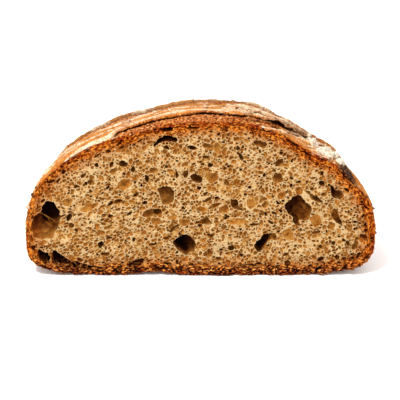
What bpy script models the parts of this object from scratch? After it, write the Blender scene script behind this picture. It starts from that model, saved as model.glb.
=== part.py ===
"""Half of a round loaf of whole wheat bread, as it stands after one cut down the middle.

The loaf is one closed solid. Its front is the flat cut, with the larger pores of the crumb sunk
into it. Its back and top are the crust, scored from side to side before baking, so that the
slashes opened and their edges lifted into ears.

Frame: +X runs along the cut, +Y from the cut to the back of the loaf, and +Z is up. The origin
is on the surface that the loaf stands on, under the middle of its box.
"""

import math

import bmesh
import bpy
from mathutils import Matrix, Vector, noise

MM = 0.001

# The baked form, before the relief of its crust
HALF_WIDTH = 115 * MM      # half of the cut's width, which was the loaf's diameter
DEPTH = 115 * MM           # from the cut to the back
WAIST = 32 * MM            # height at which the loaf is widest
CROWN = 76.3 * MM          # rise of the crown above the waist
SHOULDER = 2.3             # roundness of the crown from the cut to the back, 2 being an ellipse
HEEL_LEFT = 5.0            # squareness of the underside's corners
HEEL_RIGHT = 4.5
HEEL_BACK = 4.0
SOLE_CUT = 0.6 * MM        # how much of the rounded underside is flattened by the oven floor
CUT_Y = -DEPTH / 2
TOUCH = 0.01 * MM

# Where the crown swelled or sank: place along X, reach, share of its rise
SWELLS = (
    (-108 * MM, 7 * MM, 0.07),
    (-45 * MM, 24 * MM, -0.03),
    (33 * MM, 13 * MM, 0.025),
    (73 * MM, 14 * MM, -0.068),
    (101 * MM, 9 * MM, -0.085),
)

# The small hollow under the cut, left of its middle
SOLE_DENT_X = -30 * MM
SOLE_DENT_REACH = 13 * MM
SOLE_DENT_RISE = 2.4 * MM

# The ears behind the slashes, as shares of the way over the crown from the cut to the waist
EARS = (0.125, 0.40, 0.64)
SLASH_SLANT = 1 / (1000 * MM)   # the slashes run a little aslant of the cut
EAR_RISE = 2.6 * MM             # how far an ear stands over the open slash in front of it
EAR_FALL = 0.10                 # share of the way over which the ear sinks back
CREVICE = 1.2 * MM              # depth of the fold under an ear
CREVICE_REACH = 0.02            # share of the way that the fold takes
SLASH_FADE = (0.72, 0.90)       # shares of the half width where a slash fades and ends
BACK_FADE = (0.86, 1.0)         # shares of the way over where the relief fades and ends
LUMP_RISE = 0.9 * MM
LUMP_SIZE = 17 * MM

# How finely the crust is divided
CURVE_STEPS = 72
STATIONS = 74
CROWN_ROWS = 27
HEEL_ROWS = 11
ROW_BESIDE_EAR = 0.008
ROW_CLEAR_OF_EAR = 0.021

# The larger pores, seen in the cut: X, Z, half width, half height, tilt in degrees, depth, facets
PORES = (
    (-102.1, 40.3, 9.3, 13.6, -14, 17.0, 3),
    (-104.6, 13.4, 3.6, 4.7, 10, 8.0, 2),
    (-97.3, 10.6, 2.6, 6.6, 35, 7.0, 2),
    (-82.0, 5.6, 10.5, 1.6, 4, 4.5, 2),
    (-43.3, 8.7, 5.6, 2.9, 18, 6.0, 2),
    (-11.2, 23.1, 7.2, 6.8, 0, 9.0, 3),
    (41.1, 24.2, 7.4, 5.8, 35, 9.0, 3),
    (64.0, 49.5, 9.5, 8.4, 0, 10.0, 3),
    (69.3, 36.6, 2.2, 4.0, 15, 4.0, 2),
    (88.8, 59.3, 4.6, 4.5, 0, 6.0, 2),
    (89.3, 42.7, 2.9, 6.3, 28, 6.0, 2),
    (74.5, 57.8, 5.2, 2.0, -30, 4.0, 2),
    (-22.8, 95.9, 8.0, 2.1, 0, 7.0, 2),
    (-2.6, 68.7, 3.9, 2.9, -35, 4.0, 2),
    (7.6, 69.8, 4.2, 3.8, 0, 3.0, 2),
    (-21.2, 56.8, 4.6, 5.4, 0, 5.0, 2),
    (-31.7, 45.6, 5.9, 3.4, 8, 4.5, 2),
    (-34.9, 68.7, 1.8, 3.1, 0, 4.0, 2),
    (-49.1, 79.1, 2.9, 2.4, 10, 4.5, 2),
    (25.5, 83.9, 2.0, 3.1, 25, 4.0, 2),
    (50.2, 69.4, 3.6, 4.2, 0, 4.5, 2),
    (49.4, 80.2, 3.3, 2.6, 35, 4.0, 2),
    (36.5, 93.0, 3.9, 2.2, -15, 4.0, 2),
    (22.2, 51.4, 4.2, 3.2, 0, 4.0, 2),
    (14.4, 44.0, 3.6, 3.9, 0, 3.0, 2),
    (32.9, 51.2, 2.9, 3.9, 0, 3.0, 2),
    (2.0, 36.2, 5.2, 3.8, 0, 4.0, 2),
    (-54.1, 53.3, 3.3, 1.9, 20, 3.0, 2),
    (-86.4, 43.4, 2.4, 3.0, 0, 4.0, 2),
    (-83.8, 35.2, 2.6, 3.0, 0, 3.0, 2),
    (-40.7, 56.1, 2.6, 3.5, 0, 3.0, 2),
    (-64.0, 15.9, 3.3, 1.9, 10, 3.0, 2),
    (-31.3, 23.1, 3.0, 2.2, 0, 3.5, 2),
    (-49.0, 65.2, 5.2, 3.9, 15, 2.6, 2),
    (57.9, 8.7, 2.3, 2.9, 0, 4.0, 2),
    (102.7, 22.4, 2.3, 3.9, 0, 4.0, 2),
)
PORE_WARP = 0.16        # share of its size by which a pore's wall wanders
PORE_WARP_SIZE = 0.9    # size of that wander, as a share of the pore
PORE_SET_OUT = 0.1      # share of its depth by which a pore's middle lies before the cut


def crown_rise(x):
    """Rise of the crown above the waist, along the cut."""
    across = x / HALF_WIDTH
    rise = CROWN * math.sqrt(max(0.0, 1 - across * across))
    for place, reach, share in SWELLS:
        rise *= 1 + share * math.exp(-((x - place) / reach) ** 2)
    return rise


def waist_reach(x):
    """How far the waist reaches back from the cut."""
    across = x / HALF_WIDTH
    return DEPTH * math.sqrt(max(0.0, 1 - across * across))


def heel_drop(x):
    """Drop of the underside below the waist, along the cut."""
    heel = HEEL_LEFT if x < 0 else HEEL_RIGHT
    across = min(1.0, abs(x) / HALF_WIDTH)
    return WAIST * (1 - across**heel) ** (1 / heel)


def superellipse(reach, rise, power):
    """Points from the cut out to the waist, as (way back from the cut, way off the waist)."""
    points = []
    for step in range(CURVE_STEPS + 1):
        angle = math.pi / 2 * step / CURVE_STEPS
        y = reach * math.sin(angle) ** (2 / power)
        z = rise * abs(math.cos(angle)) ** (2 / power)
        points.append((y, z))
    return points


def along(points, share):
    """The point at a share of the way along a line of points."""
    lengths = [0.0]
    for first, second in zip(points, points[1:]):
        lengths.append(lengths[-1] + math.dist(first, second))
    wanted = share * lengths[-1]
    for index in range(1, len(points)):
        if lengths[index] >= wanted:
            break
    first, second = points[index - 1], points[index]
    part = (wanted - lengths[index - 1]) / (lengths[index] - lengths[index - 1])
    part = min(1.0, part)
    return [a + (b - a) * part for a, b in zip(first, second)]


def slant(share, x):
    """A share of the way over the crown, moved by the slashes' slant. The cut stays in place."""
    eased = min(1.0, share / EARS[0])
    return share + SLASH_SLANT * x * eased * (1 - share)


def crown_shares():
    """The rows over the crown: even ones, and a close pair at each ear's edge."""
    shares = [row / CROWN_ROWS for row in range(CROWN_ROWS)]
    for ear in EARS:
        shares = [share for share in shares if abs(share - ear) > ROW_CLEAR_OF_EAR]
        shares.extend((ear - ROW_BESIDE_EAR, ear + ROW_BESIDE_EAR))
    return sorted(shares)


def smooth(low, high, value):
    """A soft step from 0 at low to 1 at high."""
    part = min(1.0, max(0.0, (value - low) / (high - low)))
    return part * part * (3 - 2 * part)


def crust_relief(share, x):
    """Height of the crust over the plain form, by its place before the slant."""
    height = 0.0
    for ear in EARS:
        if share > ear:
            height += EAR_RISE * math.exp(-(share - ear) / EAR_FALL)
        height -= CREVICE * math.exp(-((share - ear + ROW_BESIDE_EAR) / CREVICE_REACH) ** 2)
    ends = 1 - smooth(*SLASH_FADE, abs(x) / HALF_WIDTH)
    return height * ends * (1 - smooth(*BACK_FADE, share))


def lumps(place):
    """The uneven swell of hand-shaped dough."""
    return LUMP_RISE * noise.noise(place / LUMP_SIZE)


def crust_rings(mesh):
    """The rings of points from the cut's top edge over the back to its bottom edge."""
    rows = crown_shares()
    rings = []
    heights = {}
    for station in range(1, STATIONS):
        x = -HALF_WIDTH * math.cos(math.pi * station / STATIONS)
        reach = waist_reach(x)
        crown = superellipse(reach, crown_rise(x), SHOULDER)
        heel = superellipse(reach, heel_drop(x), HEEL_BACK)
        ring = []
        for share in rows:
            y, z = along(crown, slant(share, x))
            vert = mesh.verts.new((x, CUT_Y + y, WAIST + z))
            heights[vert] = crust_relief(share, x)
            ring.append(vert)
        for row in range(HEEL_ROWS + 1):
            y, z = along(heel, 1 - row / HEEL_ROWS)
            sole = WAIST - z - SOLE_CUT * (1 - (WAIST - z) / WAIST)
            dent = SOLE_DENT_RISE * math.exp(-((x - SOLE_DENT_X) / SOLE_DENT_REACH) ** 2)
            dent *= math.exp(-(y / SOLE_DENT_REACH) ** 2)
            ring.append(mesh.verts.new((x, CUT_Y + y, max(0.0, sole) + dent)))
        rings.append(ring)
    return rings, heights


def mean_normal(rings):
    """Which way the crust's faces point on the whole."""
    total = Vector((0, 0, 0))
    for ring in rings:
        for vert in ring:
            total += vert.normal
    return total


def raise_relief(heights, outward):
    """Lift the crust's points along their normals, all but those on the cut."""
    for vert, height in heights.items():
        if vert.co.y > CUT_Y + TOUCH:
            vert.co += vert.normal * outward * (height + lumps(vert.co))
            vert.co.y = max(CUT_Y, vert.co.y)


def loaf_mesh():
    """The crust's rings, closed by the two ends and the flat cut, as a mesh."""
    mesh = bmesh.new()
    rings, heights = crust_rings(mesh)
    left = mesh.verts.new((-HALF_WIDTH, CUT_Y, WAIST))
    right = mesh.verts.new((HALF_WIDTH, CUT_Y, WAIST))
    for first, second in zip(rings, rings[1:]):
        for row in range(len(first) - 1):
            mesh.faces.new((first[row], first[row + 1], second[row + 1], second[row]))
    for row in range(len(rings[0]) - 1):
        mesh.faces.new((left, rings[0][row + 1], rings[0][row]))
        mesh.faces.new((right, rings[-1][row], rings[-1][row + 1]))
    bmesh.ops.recalc_face_normals(mesh, faces=mesh.faces[:])
    mesh.normal_update()
    raise_relief(heights, outward=1 if mean_normal(rings).y > 0 else -1)
    top = [left] + [ring[0] for ring in rings] + [right]
    bottom = [ring[-1] for ring in reversed(rings)]
    mesh.faces.new(top + bottom)
    bmesh.ops.recalc_face_normals(mesh, faces=mesh.faces[:])
    data = bpy.data.meshes.new("loaf")
    mesh.to_mesh(data)
    mesh.free()
    return data


def pore_mesh():
    """All the larger pores as closed blobs, which sink into the cut."""
    mesh = bmesh.new()
    for x, z, half_width, half_height, tilt, depth, facets in PORES:
        turn = Matrix.Rotation(math.radians(-tilt), 4, "Y")
        size = Matrix.Diagonal((half_width, depth, half_height, 1))
        place = Matrix.Translation((x * MM, CUT_Y - PORE_SET_OUT * depth * MM, z * MM))
        blob = bmesh.ops.create_icosphere(mesh, subdivisions=facets, radius=1)
        for vert in blob["verts"]:
            wander = noise.noise_vector(vert.co / PORE_WARP_SIZE + Vector((x, 0, z)))
            vert.co = place @ (MM * (turn @ (size @ (vert.co + PORE_WARP * wander))))
    data = bpy.data.meshes.new("pore_cutter")
    mesh.to_mesh(data)
    mesh.free()
    return data


def baked_crust():
    """Orange-brown baked crust of whole wheat dough."""
    material = bpy.data.materials.new("baked_crust")
    material.use_nodes = True
    shader = material.node_tree.nodes["Principled BSDF"]
    shader.inputs["Base Color"].default_value = (0.39, 0.18, 0.07, 1)
    shader.inputs["Roughness"].default_value = 0.75
    shader.inputs["Metallic"].default_value = 0.0
    return material


def add_object(name, data):
    """Put a mesh in the scene under a name."""
    piece = bpy.data.objects.new(name, data)
    bpy.context.scene.collection.objects.link(piece)
    return piece


def build():
    """Make the loaf and sink its larger pores."""
    for old in list(bpy.data.objects):
        bpy.data.objects.remove(old)
    loaf = add_object("loaf", loaf_mesh())
    loaf.data.materials.append(baked_crust())
    loaf.data.shade_smooth()
    loaf.data.set_sharp_from_angle(angle=math.radians(40))
    cutter = add_object("pore_cutter", pore_mesh())
    cutter.display_type = "WIRE"
    cutter.hide_render = True
    sink = loaf.modifiers.new("sink_pores", "BOOLEAN")
    sink.operation = "DIFFERENCE"
    sink.object = cutter
    sink.use_self = True


build()
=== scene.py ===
"""Half of a round loaf of whole wheat bread, dressed for a studio photograph.

The crumb and the crust's edge in the cut are one foam, worked out on a fine grid and turned into
meshes. The crust behind the cut is a skin over the loaf's round form, with its slashes, ears,
wrinkles and flour. Lengths are in millimetres until a mesh is made, in a loaf frame with X along
the cut, Y back from the cut and Z up.
"""

import math

import bmesh
import bpy
import numpy as np
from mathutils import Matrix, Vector


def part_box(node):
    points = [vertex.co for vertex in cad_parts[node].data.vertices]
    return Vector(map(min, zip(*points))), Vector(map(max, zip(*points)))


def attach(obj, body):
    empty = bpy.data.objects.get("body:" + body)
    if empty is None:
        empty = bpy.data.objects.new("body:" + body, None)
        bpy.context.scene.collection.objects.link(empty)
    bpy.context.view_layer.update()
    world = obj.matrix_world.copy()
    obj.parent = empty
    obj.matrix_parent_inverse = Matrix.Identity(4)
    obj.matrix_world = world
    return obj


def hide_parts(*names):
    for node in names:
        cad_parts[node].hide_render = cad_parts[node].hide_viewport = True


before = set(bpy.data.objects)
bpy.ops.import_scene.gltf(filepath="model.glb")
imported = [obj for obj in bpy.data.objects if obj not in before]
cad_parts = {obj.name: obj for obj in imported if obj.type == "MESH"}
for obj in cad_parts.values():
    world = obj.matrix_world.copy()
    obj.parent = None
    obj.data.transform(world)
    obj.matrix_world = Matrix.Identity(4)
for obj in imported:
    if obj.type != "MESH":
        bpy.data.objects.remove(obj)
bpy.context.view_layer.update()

MM = 0.001

# The loaf's box, and the round form that the solid has: how far it reaches back, how high its
# waist lies, the crown's rise above the waist, and how square the shoulder and the heel are
LOAF_LOW, LOAF_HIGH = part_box("loaf")
CUT_Y = LOAF_LOW[1]
HALF_WIDTH = (LOAF_HIGH[0] - LOAF_LOW[0]) / 2 / MM
DEPTH = 115.0
WAIST = 32.0
CROWN = 76.3
SHOULDER = 2.3
HEEL_LEFT = 5.0
HEEL_RIGHT = 4.5
HEEL_BACK = 4.0

# Swells and dips along the crown: X, half width, share of the rise
SWELLS = ((-108, 7, 0.07), (-45, 24, -0.03), (33, 13, 0.025), (73, 14, -0.068), (101, 9, -0.085))

# How much is cut off the rounded underside, and the hollow under the cut at the left
SOLE_CUT = 0.6
SOLE_DENT_X = -30
SOLE_DENT_REACH = 13
SOLE_DENT_RISE = 2.4

# The slashes over the crown. The first opened just behind the cut: its crevice and the front of
# its opening, as X and the way back from the cut
CREVICE_LINE = (
    (-62, -1), (-56, 2.5), (-50, 6), (-40, 10), (-30, 12), (-12, 13.5), (0, 16), (15, 16.5), (26, 13.5),
    (40, 12.5), (46, 12.5), (53, 14.5), (62, 19), (74, 24), (84, 27),
)
OPENING_FRONT = ((-62, -3), (34, -3), (40, 1), (46, 5), (53, 10), (62, 17), (68, 22))
LIP_RISE = 2.0

# The two slashes behind it, as shares of the way over the crown, and the width of each opening in
# front of its ear. How much they slant along X, and the share from which they slant in full
BACK_EARS = (0.40, 0.64)
BACK_WIDTHS = (0.105, 0.075)
SLASH_SLANT = 1 / 1000
SLANT_WHOLE = 0.125

# The ears' rise and how far back it falls off. They fade to the sides and to the back
EAR_RISE = 2.6
EAR_FALL = 0.10
SLASH_FADE = (0.72, 0.90)
BACK_FADE = (0.86, 1.0)

# Slits in the torn right of the crown, as ways back from the crevice, two of them in front of it
SLIT_OFFSETS = (-6.5, -3.4, 3.0, 5.6, 9.0, 13.0)

# Clumps of flour baked on at the right: X, way back from the cut, radius, rise
FLOUR_CLUMPS = (
    (77, 7.6, 2.8, 2), (80, 4.6, 2.2, 1.7), (81.5, 10, 3.2, 2.4), (84, 6, 2.8, 2.4), (87, 9, 3.2, 2.8),
    (89.5, 5.4, 2.8, 2.6), (92, 7.4, 2, 1.8), (74, 17, 3.2, 2.2), (71, 22, 2.6, 1.6),
)

# Burnt flakes and crumbs that stick out of the cut's edge: side, Z, radius, how burnt
FLAKES = (
    (-1, 56.8, 1.3, 1), (-1, 62, 0.9, 0.9), (-1, 48.6, 1.7, 0.1), (-1, 51, 1.1, 0.1), (1, 55.6, 0.9, 0.9),
    (1, 50.2, 1, 0.8), (1, 47.6, 1.3, 0.7), (1, 30.4, 1.2, 0.6), (1, 66.4, 0.8, 0.8), (1, 4.6, 1.5, 0.4),
    (1, 6.8, 1, 0.3),
)

# Crumbs baked onto the crown: X, way back from the cut, radius, how burnt
CROWN_CRUMBS = (
    (56, 24, 1.1, 0.3), (61.5, 25, 1.3, 0), (66, 22, 1, 0.9), (71.5, 24, 1.9, 0), (74.8, 21, 1.4, 0.2),
    (78.5, 19, 1.2, 0.9), (81.5, 17, 1.5, 0), (87, 13, 1, 1), (-20, 31, 1.5, 0.1), (3, 33, 1.4, 0.1),
    (24, 31, 1.2, 0.4), (-46, 26, 1.1, 0.2),
)

# The foam's grid: its step, where it begins and ends behind the cut, and where the crumb is closed
STEP = 0.42
FOAM_FRONT = -1.2
FOAM_BACK = 19.0
CLOSED_BACK = 17.8

# The way to a bubble where none is near, and how solid a hidden pore is once it is filled
FAR = 9.0
FILLED = 0.05

# The crumb's meshes, side by side, and the most triangles of each
CRUMB_PIECES = 4
MOST_TRIANGLES = 170000

# The crust's grid: stations along the cut, and rows near the cut, over the back and down the heel.
# The way over the crown to the waist at the back is about this long
STATIONS = 560
FINE_ROWS = 110
BACK_ROWS = 100
HEEL_ROWS = 46
CROWN_WAY = 150

# Caverns with a drawn mouth. Parts with the same number run together: number, depth at the
# middle, how much deeper the floor lies for each millimetre along X and along Z, and the mouth's
# corners as X and Z
CAVERNS = (
    (1, 5, 0.1, 0.28, (
        (-111.5, 33), (-110, 39), (-108, 43), (-104.5, 45.5), (-103.4, 50), (-100, 53.2), (-95.4, 52.6),
        (-92.5, 47.5), (-91, 44.7), (-93, 37), (-94.2, 32), (-97, 27), (-105, 25.8), (-109.5, 27),
    )),
    (1, 11.5, -0.25, 0.25, (
        (-103.4, 50), (-100, 53.2), (-95.4, 52.6), (-92.5, 47.5), (-91.4, 44.7), (-94, 38.5), (-99, 36.5),
        (-103, 38), (-105.5, 42), (-104.5, 45.5),
    )),
    (2, 10, 0, 0.1, (
        (-107.6, 16.5), (-106.6, 20.4), (-104.4, 17.4), (-100.6, 16), (-99.6, 13), (-98.8, 7.8),
        (-103, 7.6), (-107, 12),
    )),
    (3, 8, -0.12, 0.2, (
        (-98.2, 16), (-97, 18.6), (-93, 16), (-88.5, 12.2), (-84, 10.2), (-78, 8.8), (-70, 7), (-63, 5.4),
        (-71, 3.4), (-80, 3.6), (-85, 4.4), (-90, 5), (-94, 5.6), (-97, 7.2), (-98.6, 10),
    )),
    (4, 8, -0.95, 0, (
        (-18.6, 23.3), (-15.5, 26.5), (-12, 28.8), (-9, 29.4), (-7.2, 28.4), (-4, 25), (-3.2, 21),
        (-4.8, 18.4), (-3.2, 17), (-7, 16.8), (-9.3, 14.2), (-13, 17.2), (-15.5, 19),
    )),
    (5, 9.5, -0.3, 0, (
        (35.2, 21), (36.5, 24.5), (39.4, 26.5), (41.3, 29.8), (44.8, 30.3), (45.3, 28), (44.5, 25),
        (43, 22.5), (41, 19), (39, 16.2), (37, 18),
    )),
    (5, 2.2, -0.25, 0.1, (
        (42.2, 30.2), (49.6, 30), (50.5, 27), (50, 24.8), (47, 25.4), (42.6, 24),
    )),
    (6, 5.4, -0.3, 0.12, (
        (54, 50.5), (58, 53.8), (61, 57), (64.8, 57.7), (68.7, 53), (72.8, 49.8), (73.3, 47.5), (71, 40.2),
        (69, 39.2), (64.5, 39.6), (66, 35.4), (63, 35.6), (60.8, 38.5), (59.6, 43), (57.2, 43.6),
        (55.5, 48),
    )),
    (7, 4.2, -0.5, 0.2, (
        (84.6, 64.4), (88, 60.9), (92, 60.6), (93.4, 58), (93, 55.4), (90.5, 53.8), (86.6, 55.2),
        (84.9, 58),
    )),
    (8, 3, 0.3, -0.1, (
        (66, 61.5), (69.5, 60.6), (72, 58.4), (77, 55.8), (77.3, 54.2), (79.9, 53.2), (79.4, 52),
        (75, 52.8), (71, 57),
    )),
    (9, 2.6, 0.1, -0.1, (
        (84.6, 45.6), (86.8, 47.6), (89.8, 47.4), (89.8, 43.6), (92, 40), (93.2, 35.4), (89, 38),
        (86.2, 41.4),
    )),
    (10, 10, 0, 0.4, (
        (-30.4, 91.8), (-27, 96.2), (-23, 98.4), (-19, 97.8), (-14.4, 96.8), (-14.8, 93.6), (-19, 94.4),
        (-23, 94.4), (-27, 92.2), (-29.4, 90.2),
    )),
    (11, 8, 0, 0, (
        (-26, 103.2), (-22, 104.6), (-17.2, 104.2), (-17.8, 101.6), (-24, 101.2),
    )),
    (12, 2.8, -0.25, 0.2, (
        (20, 54.6), (24.6, 53.4), (25.2, 50), (29.5, 45.4), (26, 45.6), (20.8, 48.4), (19.4, 51.6),
    )),
    (13, 2.2, 0, 0.2, (
        (-4.6, 37.4), (2, 41.2), (4.2, 43.6), (5.6, 41), (8, 36.4), (3, 36.6),
    )),
    (14, 2.8, 0.1, 0.22, (
        (-27.6, 61.6), (-24.6, 63.4), (-19, 63), (-17.2, 59.6), (-17.6, 53), (-20, 50.4), (-24.6, 50.2),
        (-25.8, 54),
    )),
)

# Strands of crumb left across the caverns: two ends as X, Y and Z, and a radius
STRANDS = (
    ((-105.2, 2.2, 44.6), (-95.0, 3.6, 37.4), 0.42),
    ((-100.4, 2.9, 41.2), (-97.2, 4.6, 33.0), 0.34),
    ((58.4, 3.0, 43.0), (63.0, 4.2, 37.6), 0.36),
)

# Other pores that stand out in the cut: X, Z, half width, half height, tilt in degrees, depth.
# Those of the second table have two lobes that run together
PORES = (
    (-69.5, 4.8, 5, 0.8, 0, 4), (42, 102, 4.4, 0.7, -14, 4), (59.3, 93.4, 5.6, 0.6, -35, 4),
    (68.1, 85.9, 4.2, 0.6, -34, 4), (33.5, 100.4, 2.6, 0.6, -8, 3), (-52, 93.6, 3.4, 0.6, 30, 3),
    (-66.5, 84.6, 2.8, 0.6, 36, 3), (-42.5, 8.7, 6.3, 2.5, 20, 6), (-2.6, 68.7, 4.4, 2.8, -38, 5),
    (-30.5, 74.8, 2.7, 2.2, 10, 2), (-56, 74.2, 3, 2, 20, 1.8), (-76, 71, 2.6, 1.6, 30, 2),
    (7.6, 69.8, 4.2, 3.7, 0, 2), (-34.9, 68.9, 1.4, 2.9, 0, 4), (-38, 64, 0.9, 1.1, 0, 3),
    (-49.5, 79, 3, 2.5, 10, 4), (-57.7, 78.5, 1.4, 2, -25, 3), (-67, 78, 1.5, 1.5, 0, 3),
    (-88.3, 73.5, 2.3, 1, 42, 3.5), (-70.6, 66.3, 2.5, 1.8, 12, 2.4), (-60.3, 62.8, 1.9, 1.3, 10, 3.4),
    (-49.4, 65.2, 4.6, 3.6, 15, 1.5), (-80.3, 63, 2.4, 1.3, 30, 2.2), (-83, 56.8, 1.8, 0.9, 12, 3),
    (-71, 56.7, 1, 0.9, 0, 3), (-42, 57.4, 2.2, 1.1, 35, 3.4), (-53.6, 52.8, 2.5, 1.5, 20, 3.6),
    (-86.5, 52.4, 3.2, 2.4, 20, 1.6), (-86.2, 41.6, 1.7, 3.2, -28, 4.4), (-90, 20.3, 0.9, 0.7, 0, 2.4),
    (-87.4, 16.2, 1, 0.7, 20, 2.4), (-75, 15.8, 1.1, 0.8, 0, 2.4), (-59, 42.2, 1.9, 1.1, 15, 3.2),
    (-73, 48.6, 6, 1.9, 25, 1.4), (-60, 26.8, 2.4, 1.1, 25, 3), (-48.3, 24.7, 1.9, 0.8, 10, 3.4),
    (-63.2, 15.6, 3, 1.6, 10, 3), (-79.4, 11.2, 2.4, 1.6, 0, 2.4), (5.2, 91.2, 3.3, 2.3, -10, 2),
    (10.9, 90, 1.9, 3.1, 0, 1.8), (3.5, 84, 2.3, 1.2, -8, 3.4), (6.5, 77.7, 1.7, 1.4, 0, 3.4),
    (17.9, 77.2, 1.2, 1.2, 0, 3.2), (-9.2, 71.5, 1.8, 2.9, 0, 2.4), (-15.3, 71.8, 1.2, 2, 0, 2.6),
    (23.5, 66.3, 2.3, 2.3, 0, 1.6), (16.8, 65.8, 1.5, 2.4, 0, 2.4), (41, 71.2, 1.3, 1.9, 0, 3.4),
    (51, 80, 3.2, 2.4, 35, 3.4), (50.2, 69.4, 3.4, 3.7, 0, 3.2), (63.5, 66, 1.4, 0.9, 10, 3.2),
    (15.4, 47.6, 3.2, 2.6, 10, 1.8), (9, 50.4, 4.6, 1.5, 28, 2), (4.4, 54.6, 3, 1.6, 35, 2.4),
    (10.6, 55.6, 2, 1.1, 35, 3), (33, 50.8, 2.4, 3.2, 20, 1.5), (17.4, 41.8, 2.4, 1.1, 35, 3.4),
    (25, 38.6, 8, 2.4, 0, 1.1), (-10.4, 38.6, 3.8, 2.8, 0, 1.5), (35.6, 36.4, 4, 1.3, 5, 2.2),
    (5.8, 29.2, 2.8, 1, -25, 3.6), (26.4, 32.6, 1.6, 0.9, 10, 3), (32.2, 43.4, 0.9, 0.9, 0, 2.6),
    (-17.5, 33.8, 4.6, 1.3, 42, 2.6), (-22.5, 26.6, 1.8, 1.1, 0, 2.4), (-31.3, 22.6, 2.8, 1.5, 20, 2.8),
    (6, 16.4, 2, 2.9, 15, 2.2), (11.8, 12.4, 1.9, 1.5, 0, 2.4), (32, 7.6, 6.4, 0.7, 0, 5),
    (50.5, 6.8, 3, 0.6, 0, 4), (48.4, 44.4, 2.5, 1.1, -15, 2.6), (46, 38.6, 2.4, 1, -35, 2.4),
    (75.2, 39.6, 3.4, 4.6, 30, 1.3), (85.8, 35.6, 2.6, 3, 25, 1.6), (80, 57.6, 2.2, 1.4, 0, 1.8),
    (76, 31, 3, 1.3, 10, 2.2), (58, 29, 4.6, 3.6, -25, 1.1), (79, 20.6, 1.2, 1.4, 0, 3),
    (101.4, 38.8, 1.3, 1, 0, 3), (101.6, 33.4, 1.9, 0.9, 30, 3.4), (108.8, 32.6, 1.4, 1.9, -15, 3.6),
    (107.4, 27.6, 2.8, 1.5, -30, 3.8), (106.2, 43, 0.8, 1.8, 0, 3.6), (102, 21.8, 2.1, 3.4, -15, 2.6),
    (96.8, 23.2, 1.6, 2.3, 15, 3.4), (90.4, 13.6, 1.7, 2.2, 0, 3), (94.6, 12.4, 1.4, 1.4, 0, 2.6),
    (104, 14.2, 1.6, 2.9, -35, 3.6), (57.6, 8.8, 2, 2.2, 0, 3.6), (56.3, 15.6, 1.9, 1.6, 0, 2.4),
)
TWIN_PORES = (
    ((-33, 44.6, 5, 2.8, 18, 3), (-28.4, 45, 3, 2, 0, 4.6)),
    ((-84.4, 36, 2, 2.4, 10, 2.6), (-81.8, 32.2, 0.9, 2, 35, 2)),
    ((26, 83.8, 1.5, 3.1, 25, 4), (24.2, 86, 1.3, 1.2, 0, 3)),
    ((36.4, 93.6, 3.2, 1.7, -8, 3), (40.4, 92, 2.2, 2.4, 0, 2.6)),
)

# Where the knife smeared the crumb shut: X, Z, half width, half height, tilt in degrees
SMEARS = (
    (-21, 90, 7, 3.2, 0), (-72, 38, 7, 4, 15), (-46, 66, 7, 4.5, 10), (26, 39.5, 9, 4.5, 0),
    (77, 40, 6, 7, 20), (59, 28, 7, 6, -25), (67, 67, 6, 4, 0), (2, 38, 8, 5, 0), (33, 52, 4, 5, 0),
    (-38, 84, 5, 4, 20), (88, 26, 6, 5, 0), (-60, 47, 7, 3, 20), (46, 21, 5, 4, 0), (16, 46, 5, 5, 0),
)

# The crumb's other pores, from coarse to fine: smallest and largest radius, and how many are
# tried in a hundred square millimetres of the cut
PORE_SIZES = (
    (2.0, 3.0, 0.9),
    (1.4, 2.0, 10.0),
    (0.95, 1.4, 110.0),
    (0.6, 0.95, 160.0),
)
PORE_SEED = 5

# Mean thickness of the wall between two bubbles, and by how much each bubble is widened
WALL = 0.40
GROW = 0.50


def smooth(low, high, value):
    """A soft step from 0 at low to 1 at high."""
    part = np.clip((np.asarray(value, dtype=float) - low) / (high - low), 0, 1)
    return part * part * (3 - 2 * part)


def wander(x, y, z, size, seed):
    """Smooth noise from -1 to 1, whose swells are about one size apart."""
    cells = 48
    values = np.random.default_rng(seed).uniform(-1, 1, (cells, cells, cells)).astype(np.float32)
    corners = []
    parts = []
    for axis in (x, y, z):
        place = np.asarray(axis, dtype=np.float32) / size + 1000
        corner = np.floor(place).astype(np.int32)
        part = place - corner
        corners.append(corner)
        parts.append(part * part * (3 - 2 * part))
    total = np.zeros(np.broadcast(x, y, z).shape, np.float32)
    for dx in (0, 1):
        for dy in (0, 1):
            for dz in (0, 1):
                weight = parts[0] if dx else 1 - parts[0]
                weight = weight * (parts[1] if dy else 1 - parts[1])
                weight = weight * (parts[2] if dz else 1 - parts[2])
                pick = values[
                    (corners[0] + dx) % cells, (corners[1] + dy) % cells, (corners[2] + dz) % cells
                ]
                total += weight * pick
    return total


def crown_rise(x):
    """Rise of the crown above the waist, along the cut."""
    rise = CROWN * np.sqrt(np.clip(1 - (x / HALF_WIDTH) ** 2, 0, 1))
    for place, reach, share in SWELLS:
        rise = rise * (1 + share * np.exp(-((x - place) / reach) ** 2))
    return rise


def crown_way(x):
    """The way over the crown, from its left end, to a place along the cut."""
    places = -HALF_WIDTH * np.cos(np.linspace(0, math.pi, 600))
    steps = np.hypot(np.diff(places), np.diff(crown_rise(places)))
    return np.interp(x, places, np.concatenate([[0], np.cumsum(steps)]))


def waist_reach(x):
    """How far the waist reaches back from the cut."""
    return DEPTH * np.sqrt(np.clip(1 - (x / HALF_WIDTH) ** 2, 0, 1))


def heel_drop(x):
    """Drop of the underside below the waist, along the cut."""
    across = np.clip(np.abs(x) / HALF_WIDTH, 0, 1)
    heel = np.where(x < 0, HEEL_LEFT, HEEL_RIGHT)
    return WAIST * (1 - across**heel) ** (1 / heel)


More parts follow.
